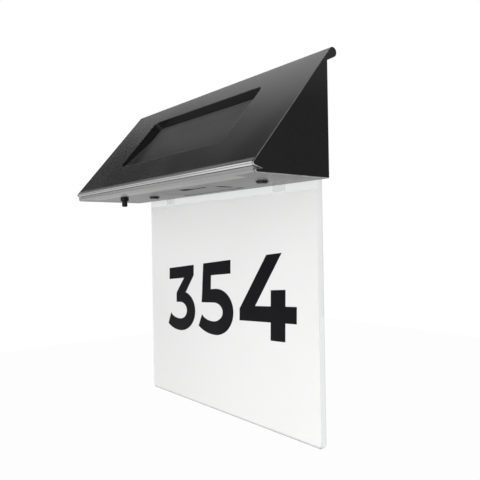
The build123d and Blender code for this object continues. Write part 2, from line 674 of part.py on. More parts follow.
def switch_button():
    """Round push button with a retaining shoulder inside the body."""
    tip = COLLAR_BOTTOM - BUTTON_OUT
    low = SHOULDER_SEAT + BUTTON_CLEARANCE
    button = rod((SWITCH_X, SWITCH_Y, tip), (0, 0, 1), BUTTON_RADIUS, low - tip)
    button = chamfer(button.edges().filter_by(GeomType.CIRCLE).sort_by(Axis.Z)[0], BUTTON_BEVEL)
    return button + rod((SWITCH_X, SWITCH_Y, low), (0, 0, 1), BUTTON_SHOULDER, SHOULDER_THICKNESS)


# ------------------------------------------------------------------ control board
BOARD_BACK = BACK_Y - SHEET - STANDOFF
BOARD_FRONT = BOARD_BACK - BOARD_THICKNESS
BOARD_LOW = BASE_Z + BOARD_BOTTOM
BOARD_MID_Z = BOARD_LOW + BOARD_HEIGHT / 2


def standoff_places():
    reach = BOARD_WIDTH / 2 - STANDOFF_INSET
    return [BOARD_CENTRE - reach, BOARD_CENTRE + reach]


def control_board():
    board = block((BOARD_CENTRE - BOARD_WIDTH / 2, BOARD_CENTRE + BOARD_WIDTH / 2),
                  (BOARD_FRONT, BOARD_BACK), (BOARD_LOW, BOARD_LOW + BOARD_HEIGHT))
    for x in standoff_places():
        board -= rod((x, BOARD_BACK + PAST, BOARD_MID_Z), (0, -1, 0), BOARD_SCREW + FIT,
                     BOARD_THICKNESS + 2 * PAST)
    return board


def board_standoffs():
    tapped = Circle(STANDOFF_RADIUS) - Circle(BOARD_SCREW + THREAD_CLEARANCE)
    return [Plane((x, BOARD_BACK, BOARD_MID_Z), z_dir=(0, 1, 0)) * extrude(tapped, amount=STANDOFF)
            for x in standoff_places()]


def board_screws():
    screws = []
    for x in standoff_places():
        seat = (x, BOARD_FRONT, BOARD_MID_Z)
        shank = rod(seat, (0, 1, 0), BOARD_SCREW, BOARD_THICKNESS + BOARD_SCREW_BITE)
        screws.append(rod(seat, (0, -1, 0), *BOARD_SCREW_HEAD) + shank)
    return screws


def on_board(place):
    """Point on the board's front, from its place on the board."""
    return BOARD_CENTRE + place[0], BOARD_FRONT, BOARD_MID_Z + place[1]


def board_parts():
    """Driver chip, coil, capacitor and three lead connectors on the board's front."""
    on_face = (Align.CENTER, Align.MAX, Align.CENTER)
    parts = [
        Pos(*on_board(CHIP_PLACE)) * Box(*CHIP, align=on_face),
        rod(on_board(COIL_PLACE), (0, -1, 0), *COIL),
        rod(on_board(CAPACITOR_PLACE), (0, -1, 0), *CAPACITOR),
    ]
    for place in (SOLAR_PLUG, LAMP_PLUG, BATTERY_PLUG):
        parts.append(Pos(*on_board(place)) * Box(*CONNECTOR, align=on_face))
    return parts


def lead(*points):
    """Inner lead along straight runs, joined by arcs as large as the runs allow."""
    corners = [Vector(*point) for point in points]
    radii = []
    for before, corner, after in zip(corners, corners[1:], corners[2:]):
        turn = math.radians((corner - before).get_angle(after - corner))
        run = min((corner - before).length, (after - corner).length)
        radii.append(LEAD_ARC_SHARE * run / math.tan(turn / 2))
    path = FilletPolyline(*corners, radius=radii)
    return sweep(Plane(path @ 0, z_dir=path % 0) * RegularPolygon(LEAD_RADIUS, LEAD_SIDES), path=path)


def plug_side(place, side):
    """Middle of a connector's side face; side is -1 or 1 along X."""
    x, y, z = on_board(place)
    return x + side * CONNECTOR[0] / 2, y - CONNECTOR[1] / 2, z


def solar_lead():
    """From the solar module's back through the grommet to the board."""
    start = slope_point(POCKET_MIDDLE, POCKET_DEPTH - SEAL_TAPE)
    below = slope_point(POCKET_MIDDLE, POCKET_DEPTH + LEAD_STRAIGHT)
    x, y, z = plug_side(SOLAR_PLUG, 1)
    return lead((0, *start), (0, *below), (0, y, z), (x, y, z))


def lamp_lead():
    """From the board, down beside the battery box and onto the lamp board."""
    x, y, z = plug_side(LAMP_PLUG, -1)
    side = DOOR_CENTRE - DOOR_WIDTH / 2 - BOX_RIM - LEAD_STRAIGHT
    lamp_top = LAMP_Z + LED_BOARD
    over = lamp_top + LEAD_RISE
    return lead((x, y, z), (side, y, z), (side, y - LEAD_STRAIGHT, over + LEAD_RISE / 2),
                (side, LAMP_Y, over), (side, LAMP_Y, lamp_top))


def battery_lead():
    """From the top of the battery box to the board."""
    x, y, z = plug_side(BATTERY_PLUG, 1)
    top = BASE_TOP + BOX_HEIGHT + BOX_WALL
    right = x + LEAD_STRAIGHT
    return lead((right, CELL_Y, top), (right, CELL_Y, top + LEAD_STRAIGHT), (right, y, z), (x, y, z))


# ------------------------------------------------------------------ number panel
PANEL_FRONT = -PANEL_THICKNESS


def number_panel():
    """Acrylic sheet with rounded corners and countersunk holes from behind."""
    low = BASE_Z - PANEL_DROP
    high = BASE_Z + PANEL_RISE
    outline = Pos(0, (low + high) / 2) * RectangleRounded(PANEL_WIDTH, high - low, PANEL_CORNER)
    panel = extrude(Plane.XZ * outline, amount=PANEL_THICKNESS)
    panel = chamfer(panel.faces().filter_by(Axis.Y).edges(), PANEL_EDGE)
    for x in (-CLIP_X, CLIP_X):
        panel -= countersink(x, HOLE_CLEARANCE)
    return panel


def countersink(x, grow):
    """Countersunk head and shank from the wall plane, grown all round."""
    head = Plane((x, 0, PANEL_SCREW_Z), z_dir=(0, -1, 0)) * Cone(
        PANEL_HEAD + grow, PANEL_SHANK + grow, PANEL_HEAD_DEPTH, align=(Align.CENTER, Align.CENTER, Align.MIN))
    length = WALL_GAP + SHEET + NUT_HEIGHT + SHANK_SPARE
    return head + rod((x, 0, PANEL_SCREW_Z), (0, -1, 0), PANEL_SHANK + grow, length)


def panel_film():
    """Frosted film on the panel's face, below a clear margin."""
    low = BASE_Z - PANEL_DROP + FILM_MARGIN
    high = BASE_Z - FILM_TOP
    width = PANEL_WIDTH - 2 * FILM_MARGIN
    outline = Pos(0, (low + high) / 2) * RectangleRounded(width, high - low, PANEL_CORNER - FILM_MARGIN)
    return Pos(0, PANEL_FRONT, 0) * extrude(Plane.XZ * outline, amount=FILM)


def panel_clips():
    """Clear straps down the panel's face that hold it off the housing."""
    clips = []
    for x in (-CLIP_X, CLIP_X):
        middle = BASE_Z + (CLIP_RISE - CLIP_DROP) / 2
        outline = Pos(x, middle) * RectangleRounded(CLIP_WIDTH, CLIP_RISE + CLIP_DROP, CLIP_CORNER)
        outline -= Pos(x, PANEL_SCREW_Z) * Circle(PANEL_SHANK + HOLE_CLEARANCE)
        clips.append(Pos(0, PANEL_FRONT, 0) * extrude(Plane.XZ * outline, amount=CLIP_THICKNESS))
    return clips


def panel_spacers():
    ring = Circle(SPACER_RADIUS) - Circle(PANEL_SHANK + HOLE_CLEARANCE)
    length = WALL_GAP - PANEL_THICKNESS - CLIP_THICKNESS
    return [Plane((x, BACK_Y, PANEL_SCREW_Z), z_dir=(0, 1, 0)) * extrude(ring, amount=length)
            for x in (-CLIP_X, CLIP_X)]


def panel_screws():
    return [countersink(x, 0) for x in (-CLIP_X, CLIP_X)]


def panel_nuts():
    return [hex_nut((x, BACK_Y - SHEET, PANEL_SCREW_Z), (0, -1, 0), PANEL_SHANK + FIT / 2)
            for x in (-CLIP_X, CLIP_X)]


# ------------------------------------------------------------------ wall hanger
def wall_hanger():
    """Hat-section strip with two keyholes; its web lies on the wall."""
    flange_y = BACK_Y + HANGER_SHEET / 2
    web_y = -HANGER_SHEET / 2
    points = [
        (flange_y, WEB_LOW - HANGER_SLOPE - HANGER_FLANGE),
        (flange_y, WEB_LOW - HANGER_SLOPE),
        (web_y, WEB_LOW),
        (web_y, WEB_HIGH),
        (flange_y, WEB_HIGH + HANGER_SLOPE),
        (flange_y, WEB_HIGH + HANGER_SLOPE + HANGER_FLANGE),
    ]
    hanger = folded(points, HANGER_SHEET, HANGER_LENGTH)
    keyhole = Circle(ENTRY_RADIUS) + Pos(0, KEY_RISE / 2) * Rectangle(2 * KEY_RADIUS, KEY_RISE)
    keyhole += Pos(0, KEY_RISE) * Circle(KEY_RADIUS)
    for x in (-ENTRY_PITCH / 2, ENTRY_PITCH / 2):
        hanger -= Pos(x, 0, 0) * extrude(Plane.XZ * keyhole, amount=HANGER_SHEET + PAST, both=True)
    for x, z in rivet_places():
        hanger -= rod((x, BACK_Y - PAST, z), (0, 1, 0), RIVET_RADIUS + RIVET_CLEARANCE, HANGER_SHEET + 2 * PAST)
    return hanger


def hanger_rivets():
    rivets = []
    for x, z in rivet_places():
        outer = BACK_Y + HANGER_SHEET
        inner = BACK_Y - SHEET
        rivet = rod((x, inner, z), (0, 1, 0), RIVET_RADIUS, outer - inner)
        rivet += rod((x, outer, z), (0, 1, 0), RIVET_HEAD, RIVET_HEAD_HEIGHT)
        rivet += rod((x, inner, z), (0, -1, 0), RIVET_TAIL, RIVET_HEAD_HEIGHT)
        rivets.append(rivet)
    return rivets


# ------------------------------------------------------------------ build
PIECES = {
    "roof_cover": roof_cover,
    "end_plate_left": lambda: end_plate(-1),
    "end_plate_right": lambda: end_plate(1),
    "back_plate": back_plate,
    "wall_hanger": wall_hanger,
    "hanger_rivets": hanger_rivets,
    "base_plate": base_plate,
    "base_seal": base_seal,
    "base_brackets": base_brackets,
    "base_screws": base_screws,
    "base_screw_washers": base_screw_washers,
    "base_nuts": base_nuts,
    "solar_module": solar_module,
    "solar_seal": solar_seal,
    "solar_grommet": solar_grommet,
    "solar_lead": solar_lead,
    "light_window": light_window,
    "led_reflector": led_reflector,
    "led_board": led_board,
    "leds": leds,
    "lamp_lead": lamp_lead,
    "battery_lead": battery_lead,
    "battery_door": battery_door,
    "battery_box": battery_box,
    "battery_cell": battery_cell,
    "battery_contact_plus": battery_contact_plus,
    "battery_contact_minus": battery_contact_minus,
    "switch_body": switch_body,
    "switch_collar": switch_collar,
    "switch_button": switch_button,
    "control_board": control_board,
    "board_standoffs": board_standoffs,
    "board_screws": board_screws,
    "board_parts": board_parts,
    "number_panel": number_panel,
    "panel_film": panel_film,
    "panel_clips": panel_clips,
    "panel_spacers": panel_spacers,
    "panel_screws": panel_screws,
    "panel_nuts": panel_nuts,
}


def main():
    os.makedirs("parts", exist_ok=True)
    for name, make in PIECES.items():
        made = make()
        shape = Compound(children=made) if isinstance(made, list) else made
        export_step(shape, f"parts/{name}.step")


main()
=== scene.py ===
"""Looks of the solar house number light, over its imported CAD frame.

Metres, X right, Y into the wall, Z up.
"""
import json
import math

import bpy
from mathutils import Matrix, Vector


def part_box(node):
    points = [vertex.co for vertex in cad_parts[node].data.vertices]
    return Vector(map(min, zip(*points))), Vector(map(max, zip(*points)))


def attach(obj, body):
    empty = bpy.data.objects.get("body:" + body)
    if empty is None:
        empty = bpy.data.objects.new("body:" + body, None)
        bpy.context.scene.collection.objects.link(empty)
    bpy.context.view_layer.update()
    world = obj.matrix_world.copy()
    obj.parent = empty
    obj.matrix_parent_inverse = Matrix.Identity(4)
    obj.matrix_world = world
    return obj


MM = 0.001

# Camera, matched to the photograph
CAMERA_PLACE = (0.37726, -0.28542, -0.09374)
CAMERA_AZIMUTH = 51.158     # degrees from +Y towards -X
CAMERA_PITCH = 0.136
CAMERA_ROLL = -0.981
CAMERA_LENS = 41.42         # mm
CAMERA_SENSOR = 36.0        # mm
CAMERA_NEAR = 0.01

# Number: upright outlines in millimetres, on a field that tapers on the panel
FIELD_WIDTH = 176.0
FIELD_HEIGHT = 62.0
FIELD_CORNERS = {           # X and Z on the panel's face, in millimetres
    "low_left": (-83.0, -176.1),
    "low_right": (93.0, -168.5),
    "high_left": (-81.0, -118.4),
    "high_right": (95.0, -101.0),
}
VINYL = 0.12                # thickness of a digit in millimetres
ARC_STEP = 7.5              # degrees

# Studio: strengths, and where a reflected ray meets each lit area, as the ray's share of a direction
WHITE = 1.0                 # background to the camera and through glass
AMBIENT = 0.50              # even light on matt surfaces
ROOM = 0.035                # reflections of the unlit side of the room
SWEEP = 2.7                 # reflections of the lit backdrop, rising from its edge
SWEEP_TOP = 2.1             # as bright as it gets
SWEEP_FADE = 0.66           # share that is lost well above its edge
SWEEP_BACK = (0.0, 1.0, 0.0)
SWEEP_EDGE = (0.118, 0.30)
SWEEP_FADING = (0.24, 0.36)
SWEEP_LEFT = (-1.0, 0.0, 0.0)
SWEEP_SIDE = (-0.1, 0.5)
BOUNCE = 0.45               # reflections of the lit floor in front
BOUNCE_WAY = (-0.763, -0.458, -0.458)
BOUNCE_EDGE = (0.75, 0.97)
STRIP = 1.2                 # reflections of a narrow light above, in front
STRIP_WAY = (-0.78, -0.42, 0.46)
STRIP_EDGE = (0.90, 0.99)
FLOOR_Z = -0.9
FLOOR_SIZE = 8.0
FLOOR_COLOR = (0.88, 0.88, 0.88)
FLOOR_WHITE = 0.97          # share of plain white in the floor, as seen; the rest shows the shadow
KEY_PLACE = (0.6, -1.45, -0.45)
KEY_TARGET = (0.0, 0.0, -0.1)
KEY_SIZE = 1.2
KEY_POWER = 17.5

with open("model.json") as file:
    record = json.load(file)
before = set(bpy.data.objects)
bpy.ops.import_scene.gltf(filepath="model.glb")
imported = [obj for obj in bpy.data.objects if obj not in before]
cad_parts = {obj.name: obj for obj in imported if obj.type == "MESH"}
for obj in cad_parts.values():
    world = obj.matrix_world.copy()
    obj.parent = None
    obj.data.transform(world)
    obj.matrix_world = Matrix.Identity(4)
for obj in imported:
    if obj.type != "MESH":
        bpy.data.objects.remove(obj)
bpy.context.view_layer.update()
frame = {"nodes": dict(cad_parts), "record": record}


# ------------------------------------------------------------------ node helpers
X, Y, Z = 0, 1, 2           # axes, as outputs of a split vector
NOISE_LOW = 0.3             # most of a noise's values lie between these
NOISE_HIGH = 0.7
SOFT = 0.0004               # soft end of a mask, in metres
MIX_FIRST = 6               # colour inputs and output of the Mix node
MIX_SECOND = 7
MIX_COLOR = 2


class Shader:
    """A material with a Principled surface, and short calls for the nodes that feed it."""

    def __init__(self, name, color, roughness, metallic=0.0, **inputs):
        self.material = bpy.data.materials.new(name)
        self.material.use_nodes = True
        self.nodes = self.material.node_tree.nodes
        self.links = self.material.node_tree.links
        self.surface = self.nodes["Principled BSDF"]
        self.surface.inputs["Base Color"].default_value = (*color, 1.0)
        self.surface.inputs["Roughness"].default_value = roughness
        self.surface.inputs["Metallic"].default_value = metallic
        for key, value in inputs.items():
            self.surface.inputs[key.replace("_", " ")].default_value = value
        self.material.diffuse_color = (*color, 1.0)
        self.color = color
        self.roughness = roughness
        self.place = self.nodes.new("ShaderNodeTexCoord").outputs["Object"]

    def add(self, kind, links=(), **values):
        """A node with named settings and linked inputs."""
        node = self.nodes.new(kind)
        for key, value in values.items():
            if key in node.inputs:
                node.inputs[key].default_value = value
            else:
                setattr(node, key, value)
        for key, source in dict(links).items():
            self.links.new(source, node.inputs[key])
        return node

    def noise(self, scale, detail=3.0, stretch=(1, 1, 1)):
        """Noise over the object, scale in features per metre."""
        mapped = self.add("ShaderNodeMapping", {"Vector": self.place}, Scale=stretch).outputs[0]
        return self.add("ShaderNodeTexNoise", {"Vector": mapped}, Scale=scale, Detail=detail).outputs["Fac"]

    def coordinate(self, axis):
        """The object's X, Y or Z, in metres."""
        return self.add("ShaderNodeSeparateXYZ", {"Vector": self.place}).outputs[axis]

    def facing(self, axis, centre, spread):
        """One where the surface's normal has about this share of an axis, either way."""
        normal = self.nodes.new("ShaderNodeTexCoord").outputs["Normal"]
        share = self.add("ShaderNodeSeparateXYZ", {"Vector": normal}).outputs[axis]
        either = self.add("ShaderNodeMath", {0: share}, operation="ABSOLUTE")
        near = self.add("ShaderNodeMath", {0: either.outputs[0]}, operation="COMPARE")
        near.inputs[1].default_value = centre
        near.inputs[2].default_value = spread
        return near.outputs[0]

    def along(self, direction, low, high):
        """Rise from none to full between two places along a direction."""
        dot = self.add("ShaderNodeVectorMath", {0: self.place}, operation="DOT_PRODUCT")
        dot.inputs[1].default_value = direction
        return self.ranged(dot.outputs["Value"], 0.0, 1.0, low, high)

    def above(self, axis, low, high):
        """None to one between two coordinates, in metres."""
        return self.ranged(self.coordinate(axis), 0.0, 1.0, low, high)

    def below(self, axis, low, high):
        """One to none between two coordinates, in metres."""
        return self.ranged(self.coordinate(axis), 1.0, 0.0, low, high)

    def within(self, axis, low, high):
        """One between two coordinates, in metres, with soft ends."""
        return self.times(self.above(axis, low, low + SOFT), self.below(axis, high - SOFT, high))

    def times(self, first, *others):
        """Product of masks."""
        for other in others:
            first = self.add("ShaderNodeMath", {0: first, 1: other}, operation="MULTIPLY").outputs[0]
        return first

    def ranged(self, source, low, high, from_low=NOISE_LOW, from_high=NOISE_HIGH):
        """A source's range, by default that of noise, smoothly turned into low to high."""
        node = self.add("ShaderNodeMapRange", {"Value": source}, interpolation_type="SMOOTHSTEP")
        limits = {"From Min": from_low, "From Max": from_high, "To Min": low, "To Max": high}
        for key, value in limits.items():
            node.inputs[key].default_value = value
        return node.outputs[0]

    def mix(self, factor, first, second):
        """Colour mix; first and second are colours or sockets."""
        node = self.nodes.new("ShaderNodeMix")
        node.data_type = "RGBA"
        self.links.new(factor, node.inputs["Factor"])
        for key, value in ((MIX_FIRST, first), (MIX_SECOND, second)):
            if isinstance(value, bpy.types.NodeSocket):
                self.links.new(value, node.inputs[key])
            else:
                node.inputs[key].default_value = (*value, 1.0)
        return node.outputs[MIX_COLOR]

    def mottle(self, scale, amount, detail=3.0, stretch=(1, 1, 1)):
        """Uneven base colour, a little darker and lighter."""
        factor = self.ranged(self.noise(scale, detail, stretch), 0.0, 1.0)
        darker = [channel * (1 - amount) for channel in self.color]
        lighter = [min(1.0, channel * (1 + amount)) for channel in self.color]
        self.links.new(self.mix(factor, darker, lighter), self.surface.inputs["Base Color"])
        return self

    def uneven(self, scale, amount, detail=2.0, stretch=(1, 1, 1)):
        """Uneven roughness."""
        noise = self.noise(scale, detail, stretch)
        value = self.ranged(noise, self.roughness - amount, self.roughness + amount)
        self.links.new(value, self.surface.inputs["Roughness"])
        return self

    def bump(self, scale, height, detail=2.0, stretch=(1, 1, 1)):
        """Surface relief of a height in metres."""
        relief = self.noise(scale, detail, stretch)
        node = self.add("ShaderNodeBump", {"Height": relief}, Strength=1.0, Distance=height)
        self.links.new(node.outputs[0], self.surface.inputs["Normal"])
        return self


# ------------------------------------------------------------------ materials
BARE_METAL = (0.67, 0.67, 0.675)
# painted shade for deep corners and openings where light does not reach
PAINTED_SHADE = (0.006, 0.006, 0.006)
NO_GLOSS = 0.03
ALONG_GRAIN = (1, 1, 12)    # stretch of brushed marks

# Roof cover, in metres
FOLD_TOP = -0.0434          # heights where the bare-metal band on the front fold, wear and painted highlight, starts and is full
FOLD_BRIGHT = -0.0464
FOLD_FRONT = -0.0715
FOLD_SOFT = 0.002
FOLD_LEFT = 0.03            # the band, wear and painted highlight, is weaker to the left of here, full at its right end
FOLD_RIGHT = 0.12
FOLD_LEFT_WEAR_AND_HIGHLIGHT = 0.66
HEM_LOW = 0.024             # the hem's cut ends start between these heights
HEM_FULL = 0.028
CUT_COLOR = (0.11, 0.11, 0.11)
POCKET_SIDE = 0.080         # half widths that hold the pocket's walls, and its mouth's long edges
MOUTH_SIDE = 0.078
MOUTH_HEIGHTS = (-0.0285, -0.0220)
WALL_FOOT = (0.0, 0.76, -0.85)      # towards the foot of the pocket's side walls, at their low end
WALL_FOOT_EDGE = (-0.01975, -0.01900)
WALL_FOOT_COLOR = (0.075, 0.075, 0.075)

# End plates
END_TOP_LIGHT = (-0.01, 0.03)    # heights between which painted light makes the coat lighter, from a share of it
END_TOP_LIGHT_SHARE = 0.30
END_TOP_LIGHT_COLOR = (0.042, 0.042, 0.042)
END_WEAR_AND_HIGHLIGHT = (-0.02, 0.02)    # heights between which the wear and painted highlight on the bevel fades
END_WEAR_AND_HIGHLIGHT_MOST = 0.7
END_WEAR_AND_HIGHLIGHT_LEAST = 0.05
# painted light on the end plates' edge faces in the front notch
NOTCH_DEPTHS = (-0.080, -0.066)
NOTCH_HEIGHTS = (-0.060, -0.0465)
NOTCH_PAINTED_LIGHT = (0.20, 0.20, 0.20)

# Base plate and battery door
# bare metal on the front bevel, wear that is also a painted highlight
BEVEL_DEPTHS = (-0.070, -0.066)
BEVEL_WEAR_AND_HIGHLIGHT = 0.42
# grip and pry notch regions that get painted shade
GRIP_X = (0.004, 0.054)
GRIP_Y = (-0.052, -0.028)
PRY_X = (0.0475, 0.054)
PRY_Y = (-0.0440, -0.0300)

# Solar panel
CELL_PITCH = 0.0253
CELL_GAP = 0.02             # share of a cell
CELL_DARK = (0.092, 0.092, 0.093)
CELL_LIGHT = (0.108, 0.108, 0.109)
GAP_COLOR = (0.070, 0.070, 0.071)
CELL_SHADE = (-0.028, 0.014)        # heights of painted shade, dark to clear
CELL_SHADE_SHARE = 0.85
CELL_SHADE_COLOR = (0.030, 0.030, 0.0305)

# Number panel and film
HOUSING_SHADE_HEIGHTS = (-0.085, -0.050)     # the clear top, below the housing, has painted shade
HOUSING_SHADE_COLOR = (0.83, 0.84, 0.838)
RIM_SIDE = 0.1138                   # the film's half width and foot; the rim lies outside them
RIM_FOOT = -0.2378
# painted shade on the clear rim outside the film
RIM_SHADE_COLOR = (0.80, 0.81, 0.81)
# painted shade along the sheet's foot
FOOT_EDGE = (-0.2381, -0.2378)
FOOT_SHADE_COLOR = (0.58, 0.59, 0.59)
CLIP_ALPHA = (0.16, 0.60)           # face on, and at its edges
FILM_LEFT = (-0.11, 0.10)           # painted shade: the film is greyer to the lower left
FILM_LOW = (-0.17, -0.09)
FILM_LOW_LEFT_SHADE = (0.835, 0.835, 0.831)
# painted shade along the film's foot
FILM_EDGE = (-0.2377, -0.2368)
FILM_FOOT_SHADE = (0.66, 0.66, 0.66)


def powder_coat(name):
    """Near-black satin coat with a very fine grain."""
    shader = Shader(name, (0.013, 0.0135, 0.0125), 0.21, Specular_IOR_Level=0.6)
    return shader.mottle(60, 0.08).uneven(25, 0.015, detail=0.0).bump(1700, 0.0000006, detail=1.0)


def over_coat(shader, mask, color):
    """Another colour where the mask is full."""
    coat = shader.surface.inputs["Base Color"].links[0].from_socket
    shader.links.new(shader.mix(mask, coat, color), shader.surface.inputs["Base Color"])
    return shader


def dull(shader, mask):
    """Takes the gloss off where the mask is full."""
    gloss = shader.surface.inputs["Specular IOR Level"]
    shader.links.new(shader.ranged(mask, gloss.default_value, NO_GLOSS, 0.0, 1.0), gloss)


def bare_metal_and_highlight(shader, mask):
    """Shows bare metal through the coat where the mask is full, as wear and as a painted highlight."""
    shader.links.new(mask, shader.surface.inputs["Metallic"])
    return over_coat(shader, mask, BARE_METAL)


def cover_coat():
    """Powder coat, with bare metal along the front fold as wear and painted highlight, lighter cut ends,
    and painted shade on the pocket mouth.
    """
    shader = powder_coat("cover_coat")
    cut = shader.times(shader.facing(X, 1.0, 0.3), shader.above(Z, HEM_LOW, HEM_FULL))
    over_coat(shader, cut, CUT_COLOR)
    wall = shader.times(shader.facing(X, 1.0, 0.05), shader.within(X, -POCKET_SIDE, POCKET_SIDE))
    foot = shader.along(WALL_FOOT, *WALL_FOOT_EDGE)
    over_coat(shader, shader.times(wall, foot), WALL_FOOT_COLOR)
    # painted shade on the pocket mouth's lower edge, with its gloss taken off
    across = shader.within(X, -MOUTH_SIDE, MOUTH_SIDE)
    mouth = shader.times(shader.facing(Z, 1.0, 0.25), across, shader.within(Z, *MOUTH_HEIGHTS))
    over_coat(shader, mouth, PAINTED_SHADE)
    dull(shader, mouth)
    # bare metal along the front fold, wear that is also a painted highlight
    # rises downwards, from the top of the band to where it is full
    low = shader.above(Z, FOLD_TOP, FOLD_BRIGHT)
    front = shader.below(Y, FOLD_FRONT, FOLD_FRONT + FOLD_SOFT)
    wear_and_highlight = shader.ranged(shader.coordinate(X), FOLD_LEFT_WEAR_AND_HIGHLIGHT, 1.0, FOLD_LEFT, FOLD_RIGHT)
    return bare_metal_and_highlight(shader, shader.times(low, front, wear_and_highlight))


def end_coat():
    """Powder coat with painted light, lighter at the top and on the edge faces in the front notch, and bare
    metal along the bevelled edge as wear and painted highlight.
    """
    shader = powder_coat("end_coat")
    # painted light, lighter towards the top
    high = shader.ranged(shader.coordinate(Z), END_TOP_LIGHT_SHARE, 1.0, *END_TOP_LIGHT)
    over_coat(shader, high, END_TOP_LIGHT_COLOR)
    # painted light on the edge faces in the front notch
    edge = shader.facing(X, 0.0, 0.6)
    notch = shader.times(edge, shader.within(Y, *NOTCH_DEPTHS), shader.within(Z, *NOTCH_HEIGHTS))
    over_coat(shader, notch, NOTCH_PAINTED_LIGHT)
    # bare metal along the bevelled edge, wear that is also a painted highlight
    low = shader.ranged(shader.coordinate(Z), END_WEAR_AND_HIGHLIGHT_MOST, END_WEAR_AND_HIGHLIGHT_LEAST, *END_WEAR_AND_HIGHLIGHT)
    patchy = shader.ranged(shader.noise(120), 0.5, 1.0)
    return bare_metal_and_highlight(shader, shader.times(shader.facing(X, 0.7, 0.2), low, patchy))


def base_coat():
    """Smoother grey coat, with bare metal along the bevelled front edge as wear and painted highlight."""
    shader = Shader("base_coat", (0.024, 0.024, 0.0245), 0.30, Specular_IOR_Level=0.50)
    shader.mottle(40, 0.05).uneven(18, 0.03).bump(500, 0.000012)
    # bare metal on the front bevel, wear that is also a painted highlight
    bevel = shader.ranged(shader.facing(Y, 0.8, 0.25), 0.0, BEVEL_WEAR_AND_HIGHLIGHT, 0.0, 1.0)
    return bare_metal_and_highlight(shader, shader.times(bevel, shader.below(Y, *BEVEL_DEPTHS)))


def door_plastic():
    """Grey moulding, with painted shade inside the grip and along the pry notch."""
    shader = Shader("door_plastic", (0.038, 0.038, 0.038), 0.33, Specular_IOR_Level=0.55)
    shader.mottle(80, 0.05).uneven(30, 0.03).bump(1500, 0.00001)
    # painted shade on the grip's walls and around the pry notch
    walls = shader.times(shader.facing(Z, 0.0, 0.5), shader.within(X, *GRIP_X), shader.within(Y, *GRIP_Y))
    notch = shader.times(shader.within(X, *PRY_X), shader.within(Y, *PRY_Y))
    shade_mask = shader.add("ShaderNodeMath", {0: walls, 1: notch}, operation="MAXIMUM").outputs[0]
    dull(shader, shade_mask)
    return over_coat(shader, shade_mask, PAINTED_SHADE)


def opal():
    """Milky light window."""
    shader = Shader("opal", (0.29, 0.29, 0.283), 0.35, Subsurface_Weight=0.2, Subsurface_Scale=0.003)
    return shader.mottle(30, 0.02).bump(700, 0.000006)


def solar_laminate():
    """Dark cells with faint gaps, with painted shade towards the lower edge, under a satin laminate."""
    shader = Shader("solar_laminate", (0.10, 0.10, 0.101), 0.55, Specular_IOR_Level=0.30)
    scaled = shader.add("ShaderNodeMath", {0: shader.coordinate(X)}, operation="DIVIDE")
    scaled.inputs[1].default_value = CELL_PITCH
    nearest = shader.add("ShaderNodeMath", {0: scaled.outputs[0]}, operation="PINGPONG")
    nearest.inputs[1].default_value = 0.5
    gap = shader.ranged(nearest.outputs[0], 0.0, 1.0, CELL_GAP, 0.0)
    cells = shader.mix(shader.ranged(shader.noise(45), 0.0, 1.0), CELL_DARK, CELL_LIGHT)
    shader.links.new(shader.mix(gap, cells, GAP_COLOR), shader.surface.inputs["Base Color"])
    # painted shade, darker towards the lower edge
    shade = shader.ranged(shader.coordinate(Z), CELL_SHADE_SHARE, 0.0, *CELL_SHADE)
    over_coat(shader, shade, CELL_SHADE_COLOR)
    return shader.uneven(40, 0.03).bump(300, 0.00001)


def plated(name, color, roughness):
    """Metal with a fine crystalline unevenness."""
    shader = Shader(name, color, roughness, metallic=1.0)
    return shader.mottle(260, 0.05, detail=1.0).uneven(200, 0.04, detail=1.0).bump(900, 0.000004)


def brushed(name, color, roughness):
    """Metal with long fine marks."""
    shader = Shader(name, color, roughness, metallic=1.0)
    shader.mottle(90, 0.06, stretch=ALONG_GRAIN).uneven(90, 0.06, stretch=ALONG_GRAIN)
    return shader.bump(1800, 0.000008)


def black_oxide():
    """Blackened steel."""
    shader = Shader("black_oxide", (0.016, 0.016, 0.017), 0.38, metallic=0.6)
    return shader.mottle(400, 0.2).uneven(300, 0.08).bump(1500, 0.00001)


def rubber():
    """Matt black rubber."""
    shader = Shader("rubber", (0.016, 0.016, 0.016), 0.75)
    return shader.mottle(500, 0.2).bump(1200, 0.00003)


def moulded(name, color, roughness, **inputs):
    """Moulded plastic, or a coated board."""
    shader = Shader(name, color, roughness, **inputs)
    return shader.mottle(150, 0.05).uneven(90, 0.05).bump(1400, 0.00002)


def let_light_through(shader):
    """Leaves clear plastic out of shadows and of diffuse light."""
    passing = light_path_sum(shader.nodes, shader.links, ["Is Shadow Ray", "Is Diffuse Ray"])
    clear = shader.nodes.new("ShaderNodeBsdfTransparent").outputs[0]
    surface = shader.surface.outputs[0]
    mixed = shader.add("ShaderNodeMixShader", {0: passing, 1: surface, 2: clear})
    shader.links.new(mixed.outputs[0], shader.nodes["Material Output"].inputs[0])
    return shader


def clear_acrylic():
    """Clear sheet, with painted shade below the housing, along its rim and at its foot."""
    shader = Shader("clear_acrylic", (0.945, 0.955, 0.952), 0.03, Transmission_Weight=1.0, IOR=1.15,
                    Coat_Weight=1.0, Coat_Roughness=0.03)
    shader.mottle(12, 0.004, detail=1.0)
    # painted shade of the housing on the clear top
    over_coat(shader, shader.above(Z, *HOUSING_SHADE_HEIGHTS), HOUSING_SHADE_COLOR)
    # painted shade on the clear rim outside the film
    inside = shader.times(shader.within(X, -RIM_SIDE, RIM_SIDE), shader.within(Z, RIM_FOOT, 0.0))
    over_coat(shader, shader.ranged(inside, 1.0, 0.0, 0.0, 1.0), RIM_SHADE_COLOR)
    # painted shade along the sheet's foot
    over_coat(shader, shader.below(Z, *FOOT_EDGE), FOOT_SHADE_COLOR)
    shader.uneven(30, 0.012).bump(14, 0.00002, detail=1.0)
    return let_light_through(shader)


